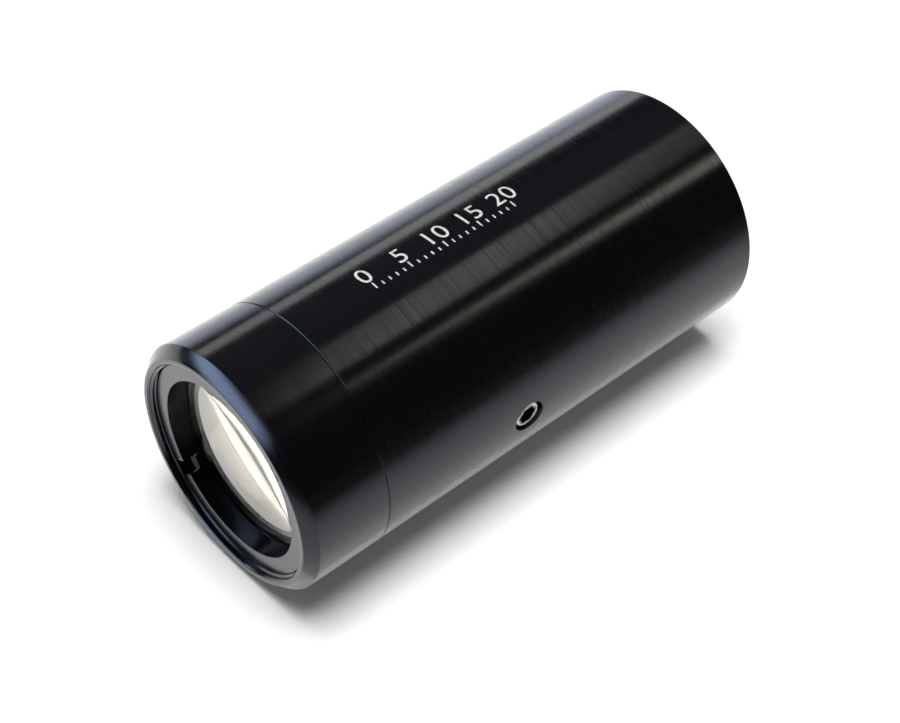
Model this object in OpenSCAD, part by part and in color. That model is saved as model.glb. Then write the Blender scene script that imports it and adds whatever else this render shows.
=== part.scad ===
// Galilean laser beam expander, 3x, as a turned barrel with a screw-in focusing cell.
// The optical axis is +Z. The input end stands on z = 0 and the output end points up.
// The lock screw sits on -Y.

/* [Barrel] */
// Outside diameter of the barrel and of the focusing cell's head
body_d = 30; // [29:0.5:36]
// Length over everything with the focusing cell screwed home
overall_len = 67; // [62:0.5:80]
// Wall of the barrel at its bore, where the input cell's thread runs
barrel_wall = 3.4; // [2.8:0.1:3.6]
// Wall of the barrel at the crest of the mounting thread at the rear
mount_wall = 2.9; // [2:0.1:3.2]
// Length of the narrower tapped bore that the focusing thread runs in
focus_thread_len = 12.3; // [9:0.1:14]
// Depth of the mounting thread, down to the shoulder under the input lock ring
mount_depth = 7.5; // [5:0.1:9]
// Lead chamfer of the tapped mouths
lead_chamfer = 0.45; // [0.2:0.05:0.5]
// Broken edge of the rear rim
rear_edge = 0.15; // [0.05:0.05:0.5]
// Broken edge on each side of the seam
seam_edge = 0.07; // [0.03:0.01:0.2]

/* [Focusing cell] */
// Length of the head in front of the seam
head_len = 10.7; // [10.2:0.1:13]
// Axial length of the front rim's outer chamfer
rim_chamfer_len = 1.27; // [0.6:0.01:1.8]
// Radial width of the same chamfer
rim_chamfer_width = 1.18; // [0.6:0.01:1.5]
// Radial step from the barrel's bore in to the focusing thread
thread_step = 0.6; // [0.5:0.05:1]
// Wall of the shank under its thread
shank_wall = 2; // [1.6:0.1:2.4]
// How far the shank reaches behind the seam
shank_len = 26.3; // [25:0.1:30]
// Radial relief of the plain skirt below the thread
skirt_relief = 0.1; // [0.05:0.05:0.2]
// Depth of the thread relief at the shank's root
root_relief = 0.4; // [0.2:0.05:0.5]
// Travel of the focusing cell to its stop
focus_travel = 3.05; // [1:0.05:3.3]

/* [Output optics] */
// Wall of the focusing cell's head outside the output lenses
head_wall = 2.3; // [2:0.05:2.6]
// Front radius of the first output lens
out_front_radius = 80; // [50:1:200]
// Front radius of the second output lens
out_rear_radius = 95; // [60:1:200]
// Thickness at the edge of the first output lens
out_front_edge = 2; // [1.6:0.1:2.2]
// Floor of the head from the seam up to the lens seat
head_floor = 2; // [1.6:0.1:2.6]
// Gap between the two lenses at their edges
out_gap = 1.1; // [1:0.05:1.3]
// Radial width of the spacer and of the lens seat
seat_width = 1.5; // [1:0.1:1.8]
// Radial step from the lens pocket out to the tapped mouth
mouth_step = 0.15; // [0.1:0.05:0.3]
// Radial step from the tapped mouth out to the front rim's inner edge
rim_step = 0.38; // [0.2:0.02:0.5]
// Depth of the retaining ring's face behind the front rim
ring_depth = 0.87; // [0.5:0.01:1.2]
// Thickness of the output retaining ring
ring_thick = 2.33; // [2:0.01:2.5]
// Radial width of the output retaining ring
ring_width = 2.07; // [1.5:0.01:2.6]
// Depth of the ring's spanner slots
ring_slot_depth = 0.95; // [0.6:0.05:1.2]
// Width of every spanner slot
slot_w = 1.6; // [1:0.1:2]
// Turn of the output ring's slots from +X
ring_slot_angle = 132.4; // [0:0.1:180]

/* [Input optics] */
// Diameter of the input lens
in_lens_d = 9.9; // [9:0.1:10.5]
// Radius of the input lens's hollow face
in_lens_radius = 12.5; // [11:0.5:30]
// Thickness at the centre of the input lens
in_lens_core = 1.4; // [1:0.1:2]
// Width of the flat land round the hollow face
in_lens_land = 0.4; // [0.2:0.05:0.8]
// Length of the input cell
in_cell_len = 9.5; // [8.5:0.1:11]
// Thickness of the ring that locks the input cell
in_lock_thick = 2; // [1.5:0.1:2.5]
// Radial width of the ring that locks the input cell
in_lock_width = 3; // [2:0.1:4]
// Thickness of the input retaining ring
in_ring_thick = 1.8; // [1.2:0.1:2.2]
// Radial width of the input retaining ring
in_ring_width = 1.2; // [0.9:0.1:1.5]
// Depth of the input retaining ring behind the cell's face
in_ring_depth = 1.1; // [0.5:0.1:1.5]
// Radial width of the shoulder that the input lens rests on
in_seat_width = 1; // [0.8:0.1:1.4]
// Depth of the slots in the two input rings and in the input cell
in_slot_depth = 0.9; // [0.5:0.1:1.2]

/* [Stop ring and damping ring] */
// Radial section of the stop ring
stop_section = 1.1; // [0.9:0.05:1.2]
// Thickness of the stop ring
stop_thick = 1; // [0.8:0.1:1.2]
// Gap in the stop ring, in degrees
stop_gap_angle = 28; // [15:1:60]
// Cross-section diameter of the damping ring
damper_section = 1.2; // [1:0.05:1.25]
// Land between the two rings' grooves
groove_land = 0.8; // [0.5:0.1:1.2]

/* [Lock screw] */
// Distance of the lock screw's axis behind the damping ring
lock_offset = 2.55; // [2.2:0.05:4]
// Outside diameter of the screw
lock_d = 3.9; // [3.5:0.1:4.5]
// Length of the screw
lock_len = 3; // [2.5:0.1:3.1]
// Distance across the flats of its hexagon socket
lock_hex = 2; // [1.5:0.1:2.2]
// Depth of the socket
lock_hex_depth = 1.6; // [1:0.1:1.8]
// Chamfer round the screw's ends
lock_chamfer = 0.42; // [0.2:0.02:0.5]
// Diameter of the soft tip
tip_d = 2.6; // [2:0.1:2.8]
// Depth of the tip's stem in the screw
tip_stem_len = 0.5; // [0.3:0.05:0.6]
// Diameter of the tip's stem
tip_stem_d = 1.2; // [0.8:0.1:1.4]
// Thickness of the tip's disc
tip_thick = 0.62; // [0.4:0.02:0.8]
// Countersink of the screw's hole
lock_countersink = 0.15; // [0.05:0.05:0.4]

/* [Fits] */
// Radial clearance of every screwed or sliding fit
run_fit = 0.05; // [0.02:0.01:0.08]
// Gap at a seat between pieces that turn on each other
seat_gap = 0.02; // [0.01:0.01:0.05]
// Small broken edge of the rings and cells
edge_break = 0.12; // [0.05:0.01:0.15]

/* [Hidden] */
$fn = 128;
eps = 0.01;

anodised = "#1b1b1e";
glass_tint = "#b9c8cf";
nickel = "#c9c7c2";

// Radii
body_r = body_d / 2;
bore_r = body_r - barrel_wall;
mount_r = body_r - mount_wall;
shank_r = bore_r - thread_step;
thread_bore_r = shank_r + run_fit;
skirt_r = shank_r - skirt_relief;
shank_bore_r = shank_r - shank_wall;
out_lens_r = body_r - head_wall;
pocket_r = out_lens_r + run_fit;
mouth_r = pocket_r + mouth_step;
rim_inner_r = mouth_r + rim_step;
rim_outer_r = body_r - rim_chamfer_width;
ring_outer_r = mouth_r - run_fit;
ring_inner_r = ring_outer_r - ring_width;
seat_inner_r = pocket_r - seat_width;

// Heights along the axis, from the front down to the rear
front_z = overall_len;
seam_z = front_z - head_len;
ring_face_z = front_z - ring_depth;
ring_rear_z = ring_face_z - ring_thick;
front_lens_top_z = ring_rear_z - seat_gap + sag(out_front_radius, ring_inner_r + edge_break);
front_lens_edge_z = front_lens_top_z - sag(out_front_radius, out_lens_r);
spacer_top_z = front_lens_edge_z - out_front_edge;
rear_lens_edge_z = spacer_top_z - out_gap;
rear_lens_top_z = rear_lens_edge_z + sag(out_rear_radius, out_lens_r);
lens_seat_z = seam_z + head_floor;
rear_lens_flat_z = lens_seat_z + seat_gap;
throat_z = lens_seat_z - (seat_inner_r - shank_bore_r);
shoulder_z = seam_z - focus_thread_len;
shank_end_z = seam_z - shank_len;
stop_top_z = shoulder_z - focus_travel;
stop_bottom_z = stop_top_z - stop_thick;
damper_z = stop_bottom_z - groove_land - damper_section / 2;
lock_z = damper_z - lock_offset;

// Radial places of the stop ring and the damping ring
stop_outer_r = bore_r - 2 * run_fit;
stop_inner_r = stop_outer_r - stop_section;
damper_outer_r = bore_r - run_fit;
damper_inner_r = damper_outer_r - damper_section;

// Input end
in_lock_z = mount_depth;
in_cell_z = in_lock_z + in_lock_thick;
in_cell_top_z = in_cell_z + in_cell_len;
in_cell_r = bore_r - run_fit;
in_pocket_r = in_lens_d / 2 + run_fit;
in_ring_z = in_cell_z + in_ring_depth;
in_lens_z = in_ring_z + in_ring_thick;
in_lens_hollow_z = in_lens_z + sag(in_lens_radius, in_lens_d / 2 - in_lens_land);
in_lens_top_z = in_lens_hollow_z + in_lens_core;
in_aperture_r = in_pocket_r - in_seat_width;
in_throat_z = in_lens_top_z + 1;
in_mouth_r = in_cell_r - 2;

// Lock screw, measured out along -Y
lock_hole_r = lock_d / 2 + run_fit;
tip_inner_y = skirt_r + run_fit;
lock_inner_y = tip_inner_y + tip_thick + seat_gap;
lock_outer_y = lock_inner_y + lock_len;

// Height of a spherical face's crown over its rim at radius r
function sag(sphere_r, r) = sphere_r - sqrt(sphere_r * sphere_r - r * r);

// A solid turned from a list of [radius, height] points
module turned(points) {
    rotate_extrude() polygon(points);
}

// A plain ring with broken edges
module ring_blank(outer_r, inner_r, low_z, thick) {
    top_z = low_z + thick;
    turned([
        [inner_r + edge_break, low_z],
        [outer_r - edge_break, low_z],
        [outer_r, low_z + edge_break],
        [outer_r, top_z - edge_break],
        [outer_r - edge_break, top_z],
        [inner_r + edge_break, top_z],
        [inner_r, top_z - edge_break],
        [inner_r, low_z + edge_break]
    ]);
}

// A bar right across a ring's face, which cuts its two spanner slots
module slot_bar(reach, low_z, depth, angle = 0) {
    rotate([0, 0, angle])
        translate([-reach, -slot_w / 2, low_z])
            cube([2 * reach, slot_w, depth]);
}

// Solid of a lens: a disc under a spherical crown
module crowned_disc(lens_r, flat_z, top_z, sphere_r) {
    intersection() {
        translate([0, 0, flat_z]) cylinder(r = lens_r, h = top_z - flat_z + eps);
        translate([0, 0, top_z - sphere_r]) sphere(r = sphere_r);
    }
}

module main_barrel() {
    color(anodised)
        difference() {
            turned([
                [mount_r + lead_chamfer, 0],
                [body_r - rear_edge, 0],
                [body_r, rear_edge],
                [body_r, seam_z - seam_edge],
                [body_r - seam_edge, seam_z],
                [thread_bore_r + lead_chamfer, seam_z],
                [thread_bore_r, seam_z - lead_chamfer],
                [thread_bore_r, shoulder_z],
                [bore_r, shoulder_z],
                [bore_r, mount_depth],
                [mount_r, mount_depth],
                [mount_r, lead_chamfer]
            ]);
            translate([0, 0, lock_z]) rotate([90, 0, 0]) {
                cylinder(r = lock_hole_r, h = body_r + 1);
                translate([0, 0, body_r - lock_countersink])
                    cylinder(r1 = lock_hole_r, r2 = lock_hole_r + lock_countersink + 1, h = lock_countersink + 1);
            }
        }
}

module focusing_cell() {
    root_z = seam_z - 2 * root_relief;
    stop_groove_r = stop_inner_r - seat_gap;
    damper_groove_r = damper_inner_r - seat_gap;
    groove_half = damper_section / 2 + run_fit;
    color(anodised)
        turned([
            // Outside, from the front rim down to the shank's end
            [rim_inner_r, front_z],
            [rim_outer_r, front_z],
            [body_r, front_z - rim_chamfer_len],
            [body_r, seam_z + seam_edge],
            [body_r - seam_edge, seam_z],
            [shank_r - root_relief, seam_z],
            [shank_r - root_relief, root_z],
            [shank_r, root_z - root_relief],
            [shank_r, stop_top_z + 1],
            [skirt_r, stop_top_z + 1 - skirt_relief],
            [skirt_r, stop_top_z + seat_gap],
            [stop_groove_r, stop_top_z + seat_gap],
            [stop_groove_r, stop_bottom_z - seat_gap],
            [skirt_r, stop_bottom_z - seat_gap],
            [skirt_r, damper_z + groove_half],
            [damper_groove_r, damper_z + groove_half],
            [damper_groove_r, damper_z - groove_half],
            [skirt_r, damper_z - groove_half],
            [skirt_r, shank_end_z + 2 * edge_break],
            [skirt_r - 2 * edge_break, shank_end_z],
            // Inside, from the shank's end back up to the front rim
            [shank_bore_r + edge_break, shank_end_z],
            [shank_bore_r, shank_end_z + edge_break],
            [shank_bore_r, throat_z],
            [seat_inner_r, lens_seat_z],
            [pocket_r, lens_seat_z],
            [pocket_r, ring_rear_z],
            [mouth_r, ring_rear_z],
            [mouth_r, front_z - rim_step]
        ]);
}

module output_retaining_ring() {
    color(anodised)
        difference() {
            ring_blank(ring_outer_r, ring_inner_r, ring_rear_z, ring_thick);
            slot_bar(body_r, ring_face_z - ring_slot_depth, ring_slot_depth + 1, ring_slot_angle);
        }
}

module output_front_lens() {
    color(glass_tint)
        crowned_disc(out_lens_r, spacer_top_z, front_lens_top_z, out_front_radius);
}

module output_rear_lens() {
    color(glass_tint)
        crowned_disc(out_lens_r, rear_lens_flat_z, rear_lens_top_z, out_rear_radius);
}

// The spacer's lower face is turned hollow to fit the second lens's crown
module output_spacer_ring() {
    color(anodised)
        difference() {
            translate([0, 0, rear_lens_edge_z])
                cylinder(r = out_lens_r, h = out_gap);
            translate([0, 0, rear_lens_edge_z - 1])
                cylinder(r = seat_inner_r, h = out_gap + 2);
            translate([0, 0, rear_lens_top_z - out_rear_radius])
                sphere(r = out_rear_radius);
        }
}

module travel_stop_ring() {
    color(nickel)
        translate([0, 0, stop_bottom_z])
            rotate([0, 0, stop_gap_angle / 2])
                rotate_extrude(angle = 360 - stop_gap_angle)
                    translate([stop_inner_r, 0])
                        square([stop_section, stop_thick]);
}

module damping_ring() {
    color("#26262a")
        translate([0, 0, damper_z])
            rotate_extrude()
                translate([damper_inner_r + damper_section / 2, 0])
                    circle(r = damper_section / 2, $fn = 32);
}

module input_cell() {
    color(anodised)
        difference() {
            turned([
                [in_pocket_r, in_cell_z],
                [in_cell_r - edge_break, in_cell_z],
                [in_cell_r, in_cell_z + edge_break],
                [in_cell_r, in_cell_top_z - edge_break],
                [in_cell_r - edge_break, in_cell_top_z],
                [in_mouth_r, in_cell_top_z],
                [in_aperture_r, in_throat_z],
                [in_aperture_r, in_lens_top_z],
                [in_pocket_r, in_lens_top_z]
            ]);
            slot_bar(in_cell_r - in_lock_width - 2 * edge_break, in_cell_z - 1, in_slot_depth + 1);
        }
}

module input_lens() {
    color(glass_tint)
        difference() {
            translate([0, 0, in_lens_z]) cylinder(r = in_lens_d / 2, h = in_lens_top_z - in_lens_z);
            translate([0, 0, in_lens_hollow_z - in_lens_radius]) sphere(r = in_lens_radius);
        }
}

module input_retaining_ring() {
    outer_r = in_pocket_r - run_fit;
    color(anodised)
        difference() {
            ring_blank(outer_r, outer_r - in_ring_width, in_ring_z, in_ring_thick);
            slot_bar(in_pocket_r, in_ring_z - 1, in_slot_depth + 1);
        }
}

module input_lock_ring() {
    color(anodised)
        difference() {
            ring_blank(in_cell_r, in_cell_r - in_lock_width, in_lock_z, in_lock_thick);
            slot_bar(body_r, in_lock_z - 1, in_slot_depth + 1, 90);
        }
}

// Grub screw with a hexagon socket, standing on its inner end before it is laid along -Y
module lock_screw() {
    screw_r = lock_d / 2;
    socket_r = lock_hex / 2 / cos(30);
    color(nickel)
        translate([0, 0, lock_z]) rotate([90, 0, 0]) translate([0, 0, lock_inner_y])
            difference() {
                turned([
                    [0, 0],
                    [screw_r - lock_chamfer, 0],
                    [screw_r, lock_chamfer],
                    [screw_r, lock_len - lock_chamfer],
                    [screw_r - lock_chamfer, lock_len],
                    [0, lock_len]
                ]);
                translate([0, 0, lock_len - lock_hex_depth])
                    cylinder(r = socket_r, h = lock_hex_depth + 1, $fn = 6);
                translate([0, 0, -1])
                    cylinder(r = tip_stem_d / 2 + run_fit, h = tip_stem_len + run_fit + 1);
            }
}

module lock_tip() {
    color("#b08d57")
        translate([0, 0, lock_z]) rotate([90, 0, 0]) translate([0, 0, tip_inner_y])
            turned([
                [0, 0],
                [tip_d / 2 - edge_break, 0],
                [tip_d / 2, edge_break],
                [tip_d / 2, tip_thick],
                [tip_stem_d / 2, tip_thick],
                [tip_stem_d / 2, tip_thick + tip_stem_len],
                [0, tip_thick + tip_stem_len]
            ]);
}

main_barrel();
focusing_cell();
output_retaining_ring();
output_front_lens();
output_spacer_ring();
output_rear_lens();
travel_stop_ring();
damping_ring();
input_cell();
input_lens();
input_retaining_ring();
input_lock_ring();
lock_screw();
lock_tip();
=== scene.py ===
"""Laser beam expander: the dressed pieces, their finishes, the table, the lamps and the camera."""
import math

import bmesh
import bpy
from mathutils import Matrix, Vector


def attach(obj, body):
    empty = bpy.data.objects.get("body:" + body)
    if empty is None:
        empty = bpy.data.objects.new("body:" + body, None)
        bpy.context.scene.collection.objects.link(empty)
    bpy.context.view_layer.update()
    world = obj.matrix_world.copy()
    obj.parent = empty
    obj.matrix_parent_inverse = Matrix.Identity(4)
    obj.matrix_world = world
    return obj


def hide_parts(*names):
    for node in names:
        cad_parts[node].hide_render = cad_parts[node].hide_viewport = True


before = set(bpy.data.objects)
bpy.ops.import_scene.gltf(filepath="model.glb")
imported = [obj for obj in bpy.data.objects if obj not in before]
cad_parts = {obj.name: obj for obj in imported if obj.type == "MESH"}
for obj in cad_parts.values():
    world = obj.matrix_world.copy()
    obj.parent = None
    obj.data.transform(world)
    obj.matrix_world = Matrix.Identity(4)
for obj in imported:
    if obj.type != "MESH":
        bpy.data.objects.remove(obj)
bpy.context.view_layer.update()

MM = 0.001
TURN = 2 * math.pi
ORIGIN = (0, 0, 0)

# Facets round the axis of a wall, a ring, a lens and a small part
WALL_STEPS = 360
RING_STEPS = 256
LENS_STEPS = 192
SMALL_STEPS = 128

# Sizes in millimetres; heights run from the rear face to the front rim
BODY_R = 15.0
FRONT_Z = 67.0
CHAMFER_Z = 65.73
RIM_OUTER_R = 13.82
RIM_INNER_R = 13.28
MOUTH_R = 13.12

# The seam, which runs in a shallow V between the head and the barrel
SEAM_Z = 56.3
SEAM_R = 14.88
SEAM_HALF = 0.11

# The barrel's inside
BORE_R = 11.6
GUIDE_R = 11.05
SHOULDER_Z = 44.0
MOUNT_R = 12.5
MOUNT_DEPTH = 7.5
MOUNT_PITCH = 0.75

# The shank, with the grooves of its stop ring and its damping ring
SHANK_ROOT_R = 10.58
SHANK_R = 11.0
SKIRT_R = 10.9
SHANK_THREAD_Z = 41.95
SHANK_END_Z = 30.0
SHANK_BORE_R = 9.0
STOP_GROOVE_R = 9.98
STOP_GROOVE_Z = (39.93, 40.97)
DAMPER_GROOVE_R = 10.33
DAMPER_GROOVE_Z = (37.9, 39.2)
FOCUS_PITCH = 0.75
MOUTH_PITCH = 0.6

# The output lenses, their pocket and the ring that holds them
POCKET_R = 12.75
LENS_R = 12.7
LENS_SEAT_R = 11.25
LENS_SEAT_Z = 58.3
LENS_BEVEL = 0.25
FRONT_LENS_Z = (61.53, 65.43)
FRONT_SPHERE_R = 37
REAR_LENS_Z = (58.22, 61.26)
REAR_SPHERE_R = 95
SPACER_Z = (60.42, 61.51)
RING_R = 12.85
RING_INNER_R = 10.78
RING_REAR_Z = 63.8
RING_FACE_Z = 66.13
RING_SLOT_ANGLE = 132.4
SLOT_W = 1.6
SLOT_DEPTH = 0.95

# The input end
INPUT_CELL_R = 11.55
INPUT_CELL_Z = (9.5, 19.0)
INPUT_BORE_R = 4.0
INPUT_FUNNEL_R = 9.55
INPUT_LENS_R = 4.95
INPUT_POCKET_R = 5.0
INPUT_SLOT_DEPTH = 0.9
INPUT_RING_Z = (10.6, 12.4)
INPUT_RING_BORE_R = 3.75
INPUT_LENS_TOP_Z = 14.66
INPUT_SPHERE_R = 12.5
LOCK_RING_BORE_R = 8.55

# The lock screw, which lies along -Y
LOCK_Z = 36.0
SCREW_R = 1.95
SCREW_POINT_R = 1.53
SCREW_Y = (11.59, 14.59)
HEXAGON = 2.0

# The engraved scale
DIGIT_SIZE = 3.4
DIGIT_LIFT = 1.2
SCALE_NUMBERS = (0, 5, 10, 15, 20)
TICK_W = 0.2
LONG_TICK = 0.95
SHORT_TICK = 0.55
SCALE_START_Z = 45.95
SCALE_ANGLE = -0.9
ENGRAVED_R = 14.93

# Way that the object lies: straight up from the table, and sideways to the near side
UP = Vector((0.996708, 0.081077, 0))
SIDE = Vector((0.081077, -0.996708, 0))
AXIS = Vector((0, 0, 1))
MIDDLE = Vector((0, 0, 0.0335))
TABLE_TURN = Matrix((AXIS, UP.cross(AXIS), UP)).transposed().to_4x4()

# Distances in metres from the object's middle
CARD_DISTANCE = 0.9
LAMP_DISTANCE = 0.8
TABLE_HALF = 1.5
HOOD_R = 1.3


# ---------------------------------------------------------------- shaping

def outline(bm, corners, closed=True):
    """Edges of a half-section through the given [radius, height] corners."""
    verts = [bm.verts.new((r * MM, 0, z * MM)) for r, z in corners]
    pairs = list(zip(verts, verts[1:]))
    if closed:
        pairs.append((verts[-1], verts[0]))
    return [bm.edges.new(pair) for pair in pairs]


def dome_line(bm, crown_z, rim_r, sphere_r):
    """Half-section of a spherical face, from its crown on the axis down to its rim."""
    crown = bm.verts.new((0, 0, crown_z * MM))
    bmesh.ops.spin(
        bm, geom=[crown], cent=(0, 0, (crown_z - sphere_r) * MM), axis=(0, 1, 0),
        angle=math.asin(rim_r / sphere_r), steps=28,
    )


def turn_round(bm, steps):
    """Turns the section once round the optical axis."""
    geom = bm.verts[:] + bm.edges[:]
    bmesh.ops.spin(
        bm, geom=geom, cent=ORIGIN, axis=(0, 0, 1), angle=TURN, steps=steps, use_merge=True
    )
    bmesh.ops.remove_doubles(bm, verts=bm.verts[:], dist=1e-7)
    bmesh.ops.dissolve_degenerate(bm, dist=1e-8, edges=bm.edges[:])
    bmesh.ops.recalc_face_normals(bm, faces=bm.faces[:])


def break_edges(bm, width):
    """Rounds every edge that turns by more than 20 degrees."""
    sharp = [e for e in bm.edges if e.is_manifold and e.calc_face_angle(0) > math.radians(20)]
    bmesh.ops.bevel(
        bm, geom=sharp, offset=width * MM, offset_type="OFFSET", segments=2, profile=0.5,
        affect="EDGES", material=-1, clamp_overlap=True, loop_slide=True,
    )


def rotate(bm, degrees, axis):
    """Turns everything about the origin."""
    turning = Matrix.Rotation(math.radians(degrees), 3, axis)
    bmesh.ops.rotate(bm, verts=bm.verts[:], cent=ORIGIN, matrix=turning)


def shift(bm, x, y, z):
    """Moves everything by so many metres."""
    bmesh.ops.translate(bm, verts=bm.verts[:], vec=(x, y, z))


def lay_along_screw(bm):
    """Lays what stands on the optical axis along the lock screw's own axis."""
    rotate(bm, 90, "X")
    shift(bm, 0, 0, LOCK_Z * MM)


def turn_outward(bm):
    """Turns every closed shell so that its faces look outward."""
    bmesh.ops.recalc_face_normals(bm, faces=bm.faces[:])
    left = set(bm.faces)
    while left:
        shell, waiting = set(), [next(iter(left))]
        while waiting:
            face = waiting.pop()
            if face in shell:
                continue
            shell.add(face)
            waiting += [other for edge in face.edges for other in edge.link_faces if other not in shell]
        left -= shell
        if sum(face.calc_center_median().dot(face.normal) * face.calc_area() for face in shell) < 0:
            bmesh.ops.reverse_faces(bm, faces=list(shell))


def finish_mesh(bm, name, crease=32):
    """Makes the object, with smooth faces that stay crisp at edges sharper than the crease angle."""
    turn_outward(bm)
    for face in bm.faces:
        face.smooth = True
    for edge in bm.edges:
        edge.smooth = not (edge.is_manifold and edge.calc_face_angle(0) > math.radians(crease))
    mesh = bpy.data.meshes.new(name)
    bm.to_mesh(mesh)
    bm.free()
    piece = bpy.data.objects.new(name, mesh)
    bpy.context.scene.collection.objects.link(piece)
    return piece


def even_shading(piece):
    """Keeps wide faces flat beside their rounded edges."""
    weights = piece.modifiers.new("even_shading", "WEIGHTED_NORMAL")
    weights.keep_sharp = True


def cut_away(piece, cutters):
    """Takes the cutters out of a piece and keeps the result as its mesh."""
    for cutter in cutters:
        cut = piece.modifiers.new("cut", "BOOLEAN")
        cut.operation = "DIFFERENCE"
        cut.solver = "EXACT"
        cut.material_mode = "TRANSFER"
        cut.object = cutter
    bpy.context.view_layer.update()
    evaluated = piece.evaluated_get(bpy.context.evaluated_depsgraph_get())
    mesh = bpy.data.meshes.new_from_object(evaluated)
    piece.modifiers.clear()
    piece.data = mesh
    mesh.name = piece.name
    for cutter in cutters:
        bpy.data.objects.remove(cutter)


def slot_cutter(reach, low_z, high_z, angle):
    """A bar right across a ring, which cuts its two spanner slots and gives their faces a painted shade."""
    bm = bmesh.new()
    bmesh.ops.create_cube(bm, size=1)
    bmesh.ops.scale(bm, verts=bm.verts[:], vec=(2 * reach * MM, SLOT_W * MM, (high_z - low_z) * MM))
    shift(bm, 0, 0, (low_z + high_z) / 2 * MM)
    rotate(bm, angle, "Z")
    # The slots' cut faces take glossless black: painted shade in the recess
    return wear(finish_mesh(bm, "slot_cutter"), EDGE_PAINT_AND_SLOT_SHADE)


def helix(name, base_r, crest_r, start_z, turns, pitch):
    """A thread's ridge, which grows out of the wall at both of its ends."""
    steps, fade = 96, 0.3
    foot, tip = pitch * 0.44, pitch * 0.1
    bm = bmesh.new()
    corners = [(base_r, -foot), (crest_r, -tip), (crest_r, tip), (base_r, foot)]
    verts = [bm.verts.new((r * MM, 0, (start_z + z) * MM)) for r, z in corners]
    face = bm.faces.new(verts)
    count = int(turns * steps)
    bmesh.ops.spin(
        bm, geom=[face] + verts + face.edges[:], cent=ORIGIN, axis=(0, 0, 1),
        dvec=(0, 0, pitch * MM / steps), angle=TURN * count / steps, steps=count,
    )
    for vert in bm.verts:
        angle = math.atan2(vert.co.y, vert.co.x) / TURN
        passed = (vert.co.z / MM - start_z) / pitch
        place = round(passed - angle) + angle
        share = max(0.0, min(1.0, place / fade, (count / steps - place) / fade))
        radius = vert.co.xy.length / MM
        vert.co.xy *= (base_r + (radius - base_r) * share) / radius
    return finish_mesh(bm, name, crease=20)


# ---------------------------------------------------------------- parts of finishes

def new_finish(name):
    """A material with its main shader; returns its makers of nodes and links too."""
    finish = bpy.data.materials.new(name)
    finish.use_nodes = True
    nodes = finish.node_tree.nodes
    shader = nodes["Principled BSDF"]
    return finish, nodes, finish.node_tree.links.new, shader


def bare_finish(name):
    """A material without a shader; returns its makers of nodes and links and its surface socket."""
    finish = bpy.data.materials.new(name)
    finish.use_nodes = True
    nodes = finish.node_tree.nodes
    nodes.clear()
    out = nodes.new("ShaderNodeOutputMaterial")
    return finish, nodes, finish.node_tree.links.new, out.inputs["Surface"]


def noise(nodes, link, scale, detail=4.0, rough=0.55):
    """A noise pattern on the piece's own coordinates, stretched by the given scale."""
    where = nodes.new("ShaderNodeTexCoord")
    stretch = nodes.new("ShaderNodeMapping")
    stretch.inputs["Scale"].default_value = scale
    link(where.outputs["Object"], stretch.inputs["Vector"])
    grain = nodes.new("ShaderNodeTexNoise")
    grain.inputs["Scale"].default_value = 1.0
    grain.inputs["Detail"].default_value = detail
    grain.inputs["Roughness"].default_value = rough
    link(stretch.outputs["Vector"], grain.inputs["Vector"])
    return grain.outputs["Fac"]


def spread(nodes, link, value, low, high, out_low, out_high):
    """Maps a pattern's range to another."""
    ramp = nodes.new("ShaderNodeMapRange")
    for socket, number in zip(("From Min", "From Max", "To Min", "To Max"), (low, high, out_low, out_high)):
        ramp.inputs[socket].default_value = number
    link(value, ramp.inputs["Value"])
    return ramp.outputs["Result"]


def reckon(nodes, link, operation, *values):
    """One step of arithmetic on patterns and plain numbers."""
    step = nodes.new("ShaderNodeMath")
    step.operation = operation
    for socket, value in zip(step.inputs, values):
        if isinstance(value, float):
            socket.default_value = value
        else:
            link(value, socket)
    return step.outputs[0]


def blend_colours(nodes, link, pattern, first, second):
    """Goes from one colour to another by a pattern."""
    tint = nodes.new("ShaderNodeMix")
    tint.data_type = "RGBA"
    tint.inputs["A"].default_value = (*first, 1)
    tint.inputs["B"].default_value = (*second, 1)
    link(pattern, tint.inputs["Factor"])
    return tint.outputs["Result"]


def blend_shaders(nodes, link, share, first, second):
    """Goes from one shader to another by a share."""
    pick = nodes.new("ShaderNodeMixShader")
    for socket, source in zip(pick.inputs, (share, first, second)):
        link(source, socket)
    return pick.outputs[0]


def add_relief(nodes, link, shader, pattern, strength, height):
    """Lets a pattern stand out of the surface by a height in metres."""
    bump = nodes.new("ShaderNodeBump")
    bump.inputs["Strength"].default_value = strength
    bump.inputs["Distance"].default_value = height
    link(pattern, bump.inputs["Height"])
    link(bump.outputs["Normal"], shader.inputs["Normal"])


def round_the_axis(nodes, link):
    """Direction of the turning tool over the surface, round the optical axis."""
    where = nodes.new("ShaderNodeTexCoord")
    across = nodes.new("ShaderNodeVectorMath")
    across.operation = "CROSS_PRODUCT"
    across.inputs[0].default_value = (0, 0, 1)
    link(where.outputs["Object"], across.inputs[1])
    turned = nodes.new("ShaderNodeVectorTransform")
    turned.vector_type = "VECTOR"
    turned.convert_from, turned.convert_to = "OBJECT", "WORLD"
    link(across.outputs["Vector"], turned.inputs["Vector"])
    return turned.outputs["Vector"]


# ---------------------------------------------------------------- finishes of the object

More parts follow.
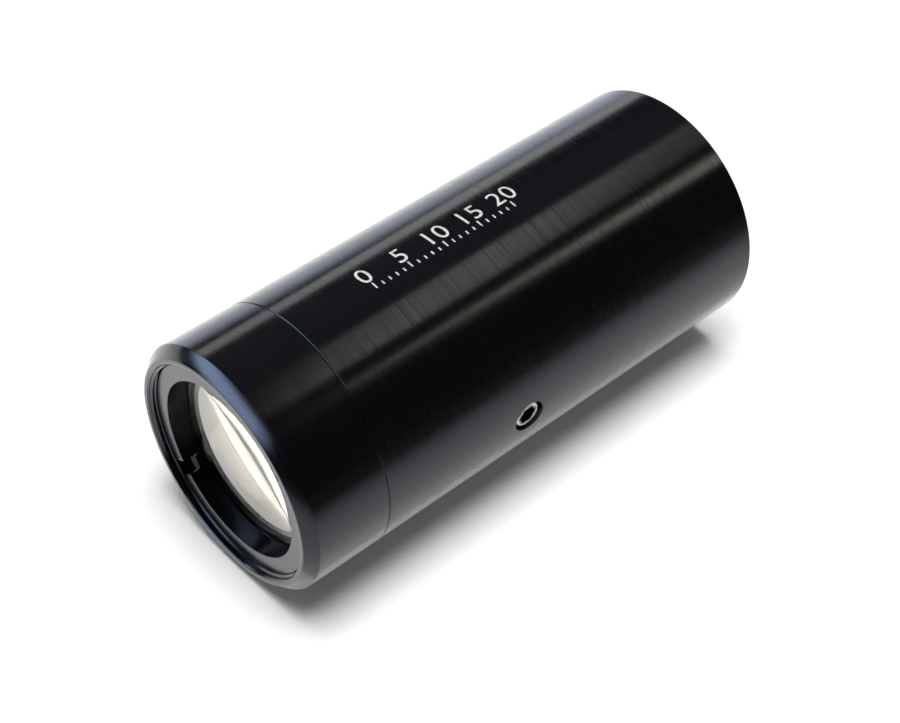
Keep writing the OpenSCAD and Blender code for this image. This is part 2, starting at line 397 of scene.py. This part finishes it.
def black_anodise(name, rough=(0.15, 0.28), lines=0.35, drawn=0.85):
    """Black anodised aluminium, with the fine rings that turning leaves."""
    finish, nodes, link, shader = new_finish(name)
    cloud = noise(nodes, link, (90, 90, 60), 5.0)
    dye = blend_colours(nodes, link, cloud, (0.0012, 0.0012, 0.0016), (0.0026, 0.0026, 0.0032))
    link(dye, shader.inputs["Base Color"])
    fine = noise(nodes, link, (10, 10, 6200), 3.0, 0.7)
    coarse = noise(nodes, link, (6, 6, 1500), 2.0, 0.5)
    rings = reckon(nodes, link, "MULTIPLY_ADD", coarse, 0.18, fine)
    link(spread(nodes, link, rings, 0.47, 0.71, rough[0], rough[1]), shader.inputs["Roughness"])
    add_relief(nodes, link, shader, rings, lines, 0.000006)
    link(round_the_axis(nodes, link), shader.inputs["Tangent"])
    shader.inputs["Anisotropic"].default_value = drawn
    shader.inputs["Anisotropic Rotation"].default_value = 0.25
    shader.inputs["Specular Tint"].default_value = (0.84, 0.87, 1.0, 1)
    shader.inputs["IOR"].default_value = 1.5
    return finish


def lens_glass(name):
    """Polished optical glass under a thin cream coating."""
    finish, nodes, link, shader = new_finish(name)
    cloud = spread(nodes, link, noise(nodes, link, (220, 220, 220), 2.0), 0.35, 0.7, 0.0, 1.0)
    tone = blend_colours(nodes, link, cloud, (0.86, 0.8, 0.66), (0.8, 0.78, 0.7))
    link(tone, shader.inputs["Base Color"])
    shader.inputs["Roughness"].default_value = 0.0
    shader.inputs["IOR"].default_value = 1.52
    shader.inputs["Transmission Weight"].default_value = 1.0
    return finish


def plain_finish(name, color, grain_scale, detail, rough, metallic=0.0):
    """One colour whose gloss varies with a fine grain; returns that grain too."""
    finish, nodes, link, shader = new_finish(name)
    grain = noise(nodes, link, (grain_scale, grain_scale, grain_scale), detail)
    shader.inputs["Base Color"].default_value = (*color, 1)
    shader.inputs["Metallic"].default_value = metallic
    link(spread(nodes, link, grain, 0.3, 0.7, rough[0], rough[1]), shader.inputs["Roughness"])
    return finish, nodes, link, shader, grain


def polished_steel(name):
    """Bright steel of the set screw, brushed by its machining."""
    finish, nodes, link, shader, grain = plain_finish(name, (0.62, 0.6, 0.57), 2600, 4.0, (0.2, 0.42), 1.0)
    add_relief(nodes, link, shader, grain, 0.3, 0.00002)
    return finish


def white_fill(name):
    """White paint in the engraving."""
    finish, nodes, link, shader = new_finish(name)
    grain = spread(nodes, link, noise(nodes, link, (4000, 4000, 4000), 3.0), 0.35, 0.6, 0.0, 1.0)
    tint = blend_colours(nodes, link, grain, (0.4, 0.4, 0.4), (0.66, 0.66, 0.65))
    link(tint, shader.inputs["Base Color"])
    shader.inputs["Roughness"].default_value = 0.7
    return finish


def soft_rubber(name):
    """Black rubber of the damping ring."""
    return plain_finish(name, (0.012, 0.012, 0.013), 5000, 3.0, (0.45, 0.7))[0]


def drawn_brass(name):
    """Brass of the set screw's tip."""
    return plain_finish(name, (0.66, 0.45, 0.17), 2000, 3.0, (0.25, 0.45), 1.0)[0]


def dull_paint(name):
    """Dull black paint on the lenses' ground edges, and painted shade in the spanner slots, black without
    any gloss.
    """
    finish, nodes, link, shader, grain = plain_finish(name, (0.002, 0.002, 0.002), 3000, 3.0, (0.7, 0.9))
    shader.inputs["Specular IOR Level"].default_value = 0.0
    return finish


def black_oxide(name):
    """Dark steel down in the set screw's socket: painted shade for its deep recess."""
    return plain_finish(name, (0.02, 0.018, 0.015), 3000, 3.0, (0.3, 0.45), 1.0)[0]


def wear(piece, *finishes):
    """Gives a piece its finishes, first slot first."""
    piece.data.materials.clear()
    for finish in finishes:
        piece.data.materials.append(finish)
    return piece


BLACK = black_anodise("black_anodise_barrel")
CELL_BLACK = black_anodise("black_anodise_cell", rough=(0.13, 0.24), lines=0.3, drawn=0.3)
RING_BLACK = black_anodise("black_anodise_ring", rough=(0.14, 0.24), lines=0.2, drawn=0.4)
BORE_BLACK = black_anodise("black_bore", rough=(0.35, 0.5), lines=0.6, drawn=0.3)
GLASS = lens_glass("coated_lens_glass")
REAR_GLASS = lens_glass("input_lens_glass")
STEEL = polished_steel("bright_screw_steel")
WHITE = white_fill("white_engraving_fill")
RUBBER = soft_rubber("damping_rubber")
BRASS = drawn_brass("screw_tip_brass")
EDGE_PAINT_AND_SLOT_SHADE = dull_paint("lens_edge_paint_and_slot_shade")
SOCKET_SHADE = black_oxide("screw_socket_painted_shade")


# ---------------------------------------------------------------- the object

def screw_hole_cutter():
    """The drilled hole for the lock screw with its small countersink."""
    hole_r, inner_end, countersink_start, outer_end = 2.0, 9, 14.85, 16
    bm = bmesh.new()
    outline(bm, [
        (0, inner_end), (hole_r, inner_end), (hole_r, countersink_start), (hole_r + 1.15, outer_end),
        (0, outer_end),
    ], closed=False)
    turn_round(bm, 64)
    lay_along_screw(bm)
    return finish_mesh(bm, "screw_hole_cutter")


def digit_mesh(number):
    """The flat outline of one number of the scale."""
    curve = bpy.data.curves.new("scale_digit", "FONT")
    curve.body = str(number)
    curve.size = DIGIT_SIZE
    curve.align_x = "CENTER"
    curve.resolution_u = 5
    curve.space_character = 1.05
    letter = bpy.data.objects.new("scale_digit", curve)
    bpy.context.scene.collection.objects.link(letter)
    bpy.context.view_layer.update()
    mesh = bpy.data.meshes.new_from_object(letter.evaluated_get(bpy.context.evaluated_depsgraph_get()))
    bpy.data.objects.remove(letter)
    return mesh


def mark_cutter():
    """Numbers and ticks of a plain millimetre scale, standing through the skin where they are engraved."""
    bm = bmesh.new()
    for number in SCALE_NUMBERS:
        mesh = digit_mesh(number)
        first = len(bm.verts)
        bm.from_mesh(mesh)
        bm.verts.ensure_lookup_table()
        bmesh.ops.translate(bm, verts=bm.verts[first:], vec=(number, DIGIT_LIFT, 0))
    for tick in range(SCALE_NUMBERS[-1] + 1):
        first = len(bm.verts)
        bmesh.ops.create_grid(bm, x_segments=1, y_segments=1, size=0.5)
        bm.verts.ensure_lookup_table()
        tall = LONG_TICK if tick in SCALE_NUMBERS else SHORT_TICK
        bmesh.ops.scale(bm, verts=bm.verts[first:], vec=(TICK_W, tall, 1))
        bmesh.ops.translate(bm, verts=bm.verts[first:], vec=(tick, tall / 2, 0))
    bmesh.ops.remove_doubles(bm, verts=bm.verts[:], dist=1e-5)
    # Cuts across the figures every 0.3 mm, so that they bend round the barrel
    for step in range(1, 13):
        bmesh.ops.bisect_plane(
            bm, geom=bm.verts[:] + bm.edges[:] + bm.faces[:], dist=1e-6,
            plane_co=(0, step * 0.3, 0), plane_no=(0, 1, 0),
        )
    made = bmesh.ops.extrude_face_region(bm, geom=bm.faces[:])
    top = [v for v in made["geom"] if isinstance(v, bmesh.types.BMVert)]
    bmesh.ops.translate(bm, verts=top, vec=(0, 0, 1))
    for vert in bm.verts:
        along, across, deep = vert.co
        angle = math.radians(SCALE_ANGLE) + across / BODY_R
        radius = ENGRAVED_R + 0.4 * deep
        height = SCALE_START_Z - along
        vert.co = Vector((radius * math.cos(angle), radius * math.sin(angle), height)) * MM
    return wear(finish_mesh(bm, "mark_cutter"), WHITE)


def round_normals(piece, radius):
    """Lets the outer wall reflect as a true cylinder around its hole and its engraving."""
    mesh = piece.data
    normals = [Vector(ORIGIN)] * len(mesh.loops)
    for face in mesh.polygons:
        corners = [mesh.vertices[i].co for i in face.vertices]
        on_wall = all(abs(c.xy.length / MM - radius) < 0.004 for c in corners)
        if on_wall and abs(face.normal.z) < 0.1:
            for loop in face.loop_indices:
                co = mesh.vertices[mesh.loops[loop].vertex_index].co
                normals[loop] = Vector((co.x, co.y, 0)).normalized()
    mesh.normals_split_custom_set(normals)


def make_barrel():
    """Outer tube with its bores, the lock screw's hole, the engraved scale and the rear mouth's thread."""
    rim_bevel, lead_in = 0.15, 0.45
    bm = bmesh.new()
    outline(bm, [
        (MOUNT_R + 0.05, 0), (BODY_R - rim_bevel, 0), (BODY_R, rim_bevel), (BODY_R, SEAM_Z - SEAM_HALF),
        (SEAM_R, SEAM_Z), (GUIDE_R + lead_in, SEAM_Z), (GUIDE_R, SEAM_Z - lead_in), (GUIDE_R, SHOULDER_Z),
        (BORE_R, SHOULDER_Z), (BORE_R, MOUNT_DEPTH), (MOUNT_R, MOUNT_DEPTH), (MOUNT_R, 0.1),
    ])
    turn_round(bm, WALL_STEPS)
    break_edges(bm, 0.03)
    piece = wear(finish_mesh(bm, "barrel_shell"), BLACK)
    cut_away(piece, [screw_hole_cutter(), mark_cutter()])
    round_normals(piece, BODY_R)
    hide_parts("main_barrel")
    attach(piece, "root")
    thread = wear(helix("mount_thread", MOUNT_R + 0.02, MOUNT_R - 0.4, 0.5, 9.0, MOUNT_PITCH), BLACK)
    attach(thread, "root")


def make_cell():
    """Focusing cell: the turned head with its chamfers, and the shank that screws into the barrel."""
    stop_low, stop_high = STOP_GROOVE_Z
    damper_low, damper_high = DAMPER_GROOVE_Z
    end_bevel, bore_bevel, mouth_bevel = 0.24, 0.12, 0.2
    cone = LENS_SEAT_R - SHANK_BORE_R
    bm = bmesh.new()
    outline(bm, [
        # The head's rim, chamfer and wall down to the seam
        (RIM_INNER_R, FRONT_Z), (RIM_OUTER_R, FRONT_Z), (BODY_R, CHAMFER_Z), (BODY_R, SEAM_Z + SEAM_HALF),
        (SEAM_R, SEAM_Z),
        # The shank's outside with its two grooves
        (SHANK_ROOT_R, SEAM_Z), (SHANK_ROOT_R, SHANK_THREAD_Z), (SKIRT_R, SHANK_THREAD_Z - 0.1),
        (SKIRT_R, stop_high),
        (STOP_GROOVE_R, stop_high), (STOP_GROOVE_R, stop_low), (SKIRT_R, stop_low), (SKIRT_R, damper_high),
        (DAMPER_GROOVE_R, damper_high), (DAMPER_GROOVE_R, damper_low), (SKIRT_R, damper_low),
        (SKIRT_R, SHANK_END_Z + end_bevel), (SKIRT_R - end_bevel, SHANK_END_Z),
        # The bore, the lenses' seat and pocket, and the front mouth
        (SHANK_BORE_R + bore_bevel, SHANK_END_Z), (SHANK_BORE_R, SHANK_END_Z + bore_bevel),
        (SHANK_BORE_R, LENS_SEAT_Z - cone), (LENS_SEAT_R, LENS_SEAT_Z), (POCKET_R, LENS_SEAT_Z),
        (POCKET_R, RING_REAR_Z), (MOUTH_R, RING_REAR_Z + mouth_bevel), (MOUTH_R, FRONT_Z - mouth_bevel),
    ])
    turn_round(bm, WALL_STEPS)
    break_edges(bm, 0.035)
    piece = wear(finish_mesh(bm, "focusing_head"), CELL_BLACK)
    even_shading(piece)
    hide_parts("focusing_cell")
    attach(piece, "focusing_body")
    for name, base_r, crest_r, start_z, turns, pitch in (
        ("shank_thread", SHANK_ROOT_R - 0.02, SHANK_R, 42.3, 17.0, FOCUS_PITCH),
        ("head_mouth_thread", MOUTH_R + 0.02, 12.9, 65.75, 1.55, MOUTH_PITCH),
    ):
        thread = wear(helix(name, base_r, crest_r, start_z, turns, pitch), CELL_BLACK)
        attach(thread, "focusing_body")


def turned_ring(name, outer_r, inner_r, low_z, high_z, edge, steps):
    """A plain turned ring with broken edges."""
    bm = bmesh.new()
    outline(bm, [(inner_r, low_z), (outer_r, low_z), (outer_r, high_z), (inner_r, high_z)])
    turn_round(bm, steps)
    break_edges(bm, edge)
    return wear(finish_mesh(bm, name), RING_BLACK)


def make_output_ring():
    """Threaded ring that holds the front lens, with two spanner slots."""
    piece = turned_ring("lens_ring", RING_R, RING_INNER_R, RING_REAR_Z, RING_FACE_Z, 0.07, RING_STEPS)
    cut_away(piece, [slot_cutter(15, RING_FACE_Z - SLOT_DEPTH, RING_FACE_Z + 1, RING_SLOT_ANGLE)])
    even_shading(piece)
    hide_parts("output_retaining_ring")
    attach(piece, "focusing_body")


def lens(name, radius, low_z, high_z, low_sphere, high_sphere, glass, steps=LENS_STEPS):
    """A polished lens: two spherical or flat faces, a ground edge and small protective bevels.

    Each face is given by the height of its middle and its radius, which is 0 where it is flat.
    """
    bm = bmesh.new()
    rims = []
    for crown_z, sphere_r in ((low_z, low_sphere), (high_z, high_sphere)):
        before = set(bm.verts)
        if sphere_r:
            dome_line(bm, crown_z, radius - LENS_BEVEL, sphere_r)
        else:
            outline(bm, [(0, crown_z), (radius - LENS_BEVEL, crown_z)], closed=False)
        rims.append(max((v for v in bm.verts if v not in before), key=lambda v: v.co.x))
    low_edge = bm.verts.new((radius * MM, 0, rims[0].co.z + LENS_BEVEL * MM))
    high_edge = bm.verts.new((radius * MM, 0, rims[1].co.z - LENS_BEVEL * MM))
    for pair in ((rims[0], low_edge), (low_edge, high_edge), (high_edge, rims[1])):
        bm.edges.new(pair)
    turn_round(bm, steps)
    piece = wear(finish_mesh(bm, name, crease=12), glass, EDGE_PAINT_AND_SLOT_SHADE)
    for face in piece.data.polygons:
        if face.center.xy.length > (radius - LENS_BEVEL) * MM:
            face.material_index = 1
    return piece


def make_output_lenses():
    """The output pair and the spacer between them."""
    front = lens("output_lens_front", LENS_R, FRONT_LENS_Z[0], FRONT_LENS_Z[1], 0, FRONT_SPHERE_R, GLASS)
    rear = lens("output_lens_rear", LENS_R, REAR_LENS_Z[0], REAR_LENS_Z[1], 0, REAR_SPHERE_R, GLASS)
    for piece, node in ((front, "output_front_lens"), (rear, "output_rear_lens")):
        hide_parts(node)
        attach(piece, "lens_group")
    low, high = SPACER_Z
    bm = bmesh.new()
    outline(bm, [(LENS_SEAT_R, low + 0.2), (LENS_R, low), (LENS_R, high), (LENS_SEAT_R, high)])
    turn_round(bm, RING_STEPS)
    break_edges(bm, 0.04)
    spacer = wear(finish_mesh(bm, "lens_spacer"), BORE_BLACK)
    even_shading(spacer)
    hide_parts("output_spacer_ring")
    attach(spacer, "lens_group")


def make_input_end():
    """Input cell with its lens, the small ring that holds it and the ring that locks the cell."""
    low, high = INPUT_CELL_Z
    bm = bmesh.new()
    outline(bm, [
        (INPUT_POCKET_R, low), (INPUT_CELL_R, low), (INPUT_CELL_R, high), (INPUT_FUNNEL_R, high),
        (INPUT_BORE_R, INPUT_LENS_TOP_Z + 1), (INPUT_BORE_R, INPUT_LENS_TOP_Z),
        (INPUT_POCKET_R, INPUT_LENS_TOP_Z),
    ])
    turn_round(bm, RING_STEPS)
    break_edges(bm, 0.08)
    cell = wear(finish_mesh(bm, "input_lens_cell"), RING_BLACK)
    cut_away(cell, [slot_cutter(8.31, low - 1, low + INPUT_SLOT_DEPTH, 0)])
    even_shading(cell)
    ring_low, ring_high = INPUT_RING_Z
    ring = turned_ring(
        "input_lens_ring", INPUT_LENS_R, INPUT_RING_BORE_R, ring_low, ring_high, 0.08, SMALL_STEPS
    )
    cut_away(ring, [slot_cutter(6, ring_low - 1, ring_low + INPUT_SLOT_DEPTH, 0)])
    even_shading(ring)
    lock = turned_ring(
        "input_locking_ring", INPUT_CELL_R, LOCK_RING_BORE_R, MOUNT_DEPTH, low, 0.08, RING_STEPS
    )
    cut_away(lock, [slot_cutter(15, MOUNT_DEPTH - 1, MOUNT_DEPTH + INPUT_SLOT_DEPTH, 90)])
    even_shading(lock)
    glass = lens(
        "input_lens_glass_piece", INPUT_LENS_R, ring_high + 0.84, INPUT_LENS_TOP_Z, INPUT_SPHERE_R, 0,
        REAR_GLASS, SMALL_STEPS,
    )
    for piece, node, slot in (
        (cell, "input_cell", "anodised_ring"), (ring, "input_retaining_ring", "anodised_ring"),
        (lock, "input_lock_ring", "anodised_ring"), (glass, "input_lens", "input_glass"),
    ):
        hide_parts(node)
        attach(piece, "root")


def make_lock_screw():
    """Set screw with a hexagon socket."""
    inner_end, outer_end = SCREW_Y
    chamfer = SCREW_R - SCREW_POINT_R
    bm = bmesh.new()
    outline(bm, [
        (0, inner_end), (SCREW_POINT_R, inner_end), (SCREW_R, inner_end + chamfer),
        (SCREW_R, outer_end - chamfer), (SCREW_POINT_R, outer_end), (0, outer_end),
    ], closed=False)
    turn_round(bm, 96)
    break_edges(bm, 0.05)
    lay_along_screw(bm)
    screw = wear(finish_mesh(bm, "set_screw"), STEEL)
    corner_r = HEXAGON / 2 / math.cos(math.radians(30))
    bm = bmesh.new()
    bmesh.ops.create_cone(
        bm, cap_ends=True, cap_tris=False, segments=6, radius1=corner_r * MM, radius2=corner_r * MM,
        depth=4 * MM,
    )
    lay_along_screw(bm)
    shift(bm, 0, -(outer_end + 0.4) * MM, 0)
    # The socket's faces take the painted shade of its recess
    cut_away(screw, [wear(finish_mesh(bm, "hex_cutter"), SOCKET_SHADE)])
    even_shading(screw)
    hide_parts("lock_screw")
    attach(screw, "screw_body")


def dress_hidden_nodes():
    """Finishes of the solids that stay as they are, inside the barrel."""
    for node, finish in (("travel_stop_ring", STEEL), ("damping_ring", RUBBER), ("lock_tip", BRASS)):
        wear(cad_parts[node], finish)


# ---------------------------------------------------------------- stage

def glow(name, color, strength, soft=0):
    """A plain shining finish for a card, which can fade out over a share of its width and height."""
    finish, nodes, link, surface = bare_finish(name)
    shine = nodes.new("ShaderNodeEmission")
    shine.inputs["Color"].default_value = (*color, 1)
    shine.inputs["Strength"].default_value = strength
    if not soft:
        link(shine.outputs[0], surface)
        return finish
    where = nodes.new("ShaderNodeTexCoord")
    parts = nodes.new("ShaderNodeSeparateXYZ")
    link(where.outputs["Generated"], parts.inputs[0])
    fades = []
    for side in ("X", "Y"):
        from_edge = reckon(nodes, link, "PINGPONG", parts.outputs[side], 0.5)
        fades.append(spread(nodes, link, from_edge, 0.0, soft / 2, 0.0, 1.0))
    density = reckon(nodes, link, "MULTIPLY", *fades)
    clear = nodes.new("ShaderNodeBsdfTransparent")
    link(blend_shaders(nodes, link, density, clear.outputs[0], shine.outputs[0]), surface)
    return finish


def heading(elevation, azimuth):
    """Direction from the object, by its height over the table and its turn from the optical axis."""
    el, az = math.radians(elevation), math.radians(azimuth)
    return UP * math.sin(el) + (AXIS * math.cos(az) + SIDE * math.sin(az)) * math.cos(el)


def facing_object(place):
    """Stands a lamp or card at a place, looking at the object, with its long side level."""
    back = (place - MIDDLE).normalized()
    across = UP.cross(back).normalized()
    rows = Matrix((across, back.cross(across), back)).transposed()
    return Matrix.Translation(place) @ rows.to_4x4()


def only_reflected(piece):
    """Hides a piece of the stage from all but glossy surfaces and glass."""
    piece.visible_camera = False
    piece.visible_diffuse = False
    piece.visible_shadow = False


def card(name, elevation, azimuth, width, height, color, strength, distance=CARD_DISTANCE, roll=0, soft=0):
    """A reflection card; its size and its place are in degrees."""
    bm = bmesh.new()
    bmesh.ops.create_grid(bm, x_segments=1, y_segments=1, size=0.5)
    wide = 2 * distance * math.tan(math.radians(width / 2))
    tall = 2 * distance * math.tan(math.radians(height / 2))
    bmesh.ops.scale(bm, verts=bm.verts[:], vec=(wide, tall, 1))
    rotate(bm, roll, "Z")
    piece = wear(finish_mesh(bm, name), glow(name + "_glow", color, strength, soft))
    piece.matrix_world = facing_object(MIDDLE + heading(elevation, azimuth) * distance)
    only_reflected(piece)


def table_finish():
    """White table: lit by the lamps, topped up to white where it is seen, and clear from below."""
    finish, nodes, link, surface = bare_finish("white_table")
    paint = nodes.new("ShaderNodeBsdfDiffuse")
    paint.inputs["Color"].default_value = (0.97, 0.97, 0.97, 1)
    path = nodes.new("ShaderNodeLightPath")
    seen = path.outputs["Is Camera Ray"]
    mirrored = reckon(
        nodes, link, "MAXIMUM", path.outputs["Is Glossy Ray"], path.outputs["Is Transmission Ray"]
    )
    top_up = reckon(nodes, link, "MULTIPLY_ADD", seen, 0.035, reckon(nodes, link, "MULTIPLY", mirrored, 0.5))
    shine = nodes.new("ShaderNodeEmission")
    link(top_up, shine.inputs["Strength"])
    lit = nodes.new("ShaderNodeAddShader")
    link(paint.outputs[0], lit.inputs[0])
    link(shine.outputs[0], lit.inputs[1])
    # Far from the object the table is seen as plain white, past the lamps' reach
    where = nodes.new("ShaderNodeTexCoord")
    reach = nodes.new("ShaderNodeVectorMath")
    reach.operation = "LENGTH"
    link(where.outputs["Object"], reach.inputs[0])
    away = spread(nodes, link, reach.outputs["Value"], 0.12, 0.2, 0.0, 1.0)
    backdrop = nodes.new("ShaderNodeEmission")
    far = reckon(nodes, link, "MULTIPLY", away, seen)
    top = blend_shaders(nodes, link, far, lit.outputs[0], backdrop.outputs[0])
    clear = nodes.new("ShaderNodeBsdfTransparent")
    side = nodes.new("ShaderNodeNewGeometry")
    link(blend_shaders(nodes, link, side.outputs["Backfacing"], top, clear.outputs[0]), surface)
    return finish


def make_table():
    """The table's top, which the barrel touches along one line."""
    bm = bmesh.new()
    bmesh.ops.create_grid(bm, x_segments=1, y_segments=1, size=TABLE_HALF)
    piece = wear(finish_mesh(bm, "table_top"), table_finish())
    piece.matrix_world = Matrix.Translation(MIDDLE - UP * (BODY_R + 0.005) * MM) @ TABLE_TURN


def make_hood():
    """Dark hood over the table, which glossy surfaces and glass reflect instead of the room."""
    bm = bmesh.new()
    bmesh.ops.create_uvsphere(bm, u_segments=48, v_segments=24, radius=HOOD_R)
    bmesh.ops.bisect_plane(
        bm, geom=bm.verts[:] + bm.edges[:] + bm.faces[:], dist=1e-6, plane_co=ORIGIN, plane_no=(0, 0, 1),
        clear_inner=True,
    )
    piece = wear(finish_mesh(bm, "studio_hood"), glow("studio_hood_dark", (0.8, 0.9, 1.0), 0.025))
    piece.matrix_world = Matrix.Translation(MIDDLE - UP * BODY_R * MM) @ TABLE_TURN
    only_reflected(piece)


def flag_finish():
    """Darkness that thickens sideways, away from the object."""
    finish, nodes, link, surface = bare_finish("black_flag")
    where = nodes.new("ShaderNodeTexCoord")
    parts = nodes.new("ShaderNodeSeparateXYZ")
    link(where.outputs["Object"], parts.inputs[0])
    density = spread(nodes, link, parts.outputs["Y"], 0.022, 0.071, 0.36, 0.97)
    dark = nodes.new("ShaderNodeEmission")
    dark.inputs["Color"].default_value = (0.8, 0.9, 1.0, 1)
    dark.inputs["Strength"].default_value = 0.02
    clear = nodes.new("ShaderNodeBsdfTransparent")
    link(blend_shaders(nodes, link, density, clear.outputs[0], dark.outputs[0]), surface)
    return finish


def make_flag():
    """Black flag lying over the near side of the table, which darkens its reflection in the barrel."""
    long_side, short_side = 2.4, 1.2
    bm = bmesh.new()
    bmesh.ops.create_grid(bm, x_segments=1, y_segments=1, size=0.5)
    bmesh.ops.scale(bm, verts=bm.verts[:], vec=(long_side, short_side, 1))
    shift(bm, 0, short_side / 2, 0)
    piece = wear(finish_mesh(bm, "flag_card"), flag_finish())
    turning = Matrix((-AXIS, SIDE, UP)).transposed().to_4x4()
    start = MIDDLE - UP * (BODY_R - 0.5) * MM + SIDE * 0.014
    piece.matrix_world = Matrix.Translation(start) @ turning
    only_reflected(piece)
    piece.visible_transmission = False


def lamp(name, elevation, azimuth, size, power):
    """A square softbox that looks at the object; it lights, and isn't itself reflected."""
    data = bpy.data.lights.new(name, "AREA")
    data.shape = "SQUARE"
    data.size = size
    data.energy = power
    piece = bpy.data.objects.new(name, data)
    piece.matrix_world = facing_object(MIDDLE + heading(elevation, azimuth) * LAMP_DISTANCE)
    piece.visible_glossy = False
    piece.visible_transmission = False
    piece.visible_camera = False
    bpy.context.scene.collection.objects.link(piece)


def make_world():
    """White surroundings where they are seen, and an even soft fill."""
    world = bpy.data.worlds.new("studio")
    bpy.context.scene.world = world
    world.use_nodes = True
    nodes, link = world.node_tree.nodes, world.node_tree.links.new
    back = nodes["Background"]
    path = nodes.new("ShaderNodeLightPath")
    seen = reckon(nodes, link, "MAXIMUM", path.outputs["Is Camera Ray"], path.outputs["Is Glossy Ray"])
    seen = reckon(nodes, link, "MAXIMUM", seen, path.outputs["Is Transmission Ray"])
    link(spread(nodes, link, seen, 0.0, 1.0, 0.14, 1.0), back.inputs["Strength"])
    back.inputs["Color"].default_value = (1, 1, 1, 1)


def make_camera():
    """Camera over the near front corner, looking down on the lying barrel."""
    data = bpy.data.cameras.new("camera")
    data.lens = 74.16
    data.sensor_width = 36
    data.clip_start = 0.01
    data.clip_end = 10
    piece = bpy.data.objects.new("camera", data)
    place = Vector((155.72, -101.356, 136.538)) * MM
    forward = Vector((-0.74511, 0.468887, -0.474295))
    top = Vector((0.664737, 0.579886, -0.471016))
    rows = Matrix((forward.cross(top), top, -forward)).transposed().to_4x4()
    piece.matrix_world = Matrix.Translation(place) @ rows
    bpy.context.scene.collection.objects.link(piece)
    bpy.context.scene.camera = piece


make_camera()
make_table()
make_hood()
make_flag()

# Cards: name, height over the table, turn from the axis, width, height, colour, strength
card("window_card", 26, -27, 86, 28, (0.56, 0.72, 1.0), 7.0, soft=0.5)
card("horizon_card", 0.9, -120, 110, 16.1, (0.81, 0.87, 1.0), 1.6, distance=0.12)
card("skyline_card", 5.5, -120, 80, 7, (0.82, 0.86, 1.0), 0.9)
card("table_edge_card", 17.3, -121, 38, 9.5, (1.0, 1.0, 0.94), 1.8, roll=34)
card("ceiling_card", 52, -125, 70, 40, (0.9, 0.9, 1.0), 0.15, soft=0.3)
card("tube_back_card", 60, 172, 26, 7, (1.0, 1.0, 0.8), 5.0, soft=0.3)
card("tube_side_card", 38.4, 151, 14, 5, (1.0, 0.98, 0.72), 6.2, soft=0.2)
card("tube_front_card", 45, 142, 14, 4.5, (1.0, 0.98, 0.72), 2.6, roll=-40, soft=0.3)

# Lamps: name, height over the table, turn from the axis, size in metres, watts
lamp("key_softbox", 82.8, 66, 0.42, 7.3)
lamp("fill_softbox", 65, -100, 0.8, 1.0)
make_world()

make_barrel()
make_cell()
make_output_ring()
make_output_lenses()
make_input_end()
make_lock_screw()
dress_hidden_nodes()

bpy.context.scene.view_settings.view_transform = "Standard"
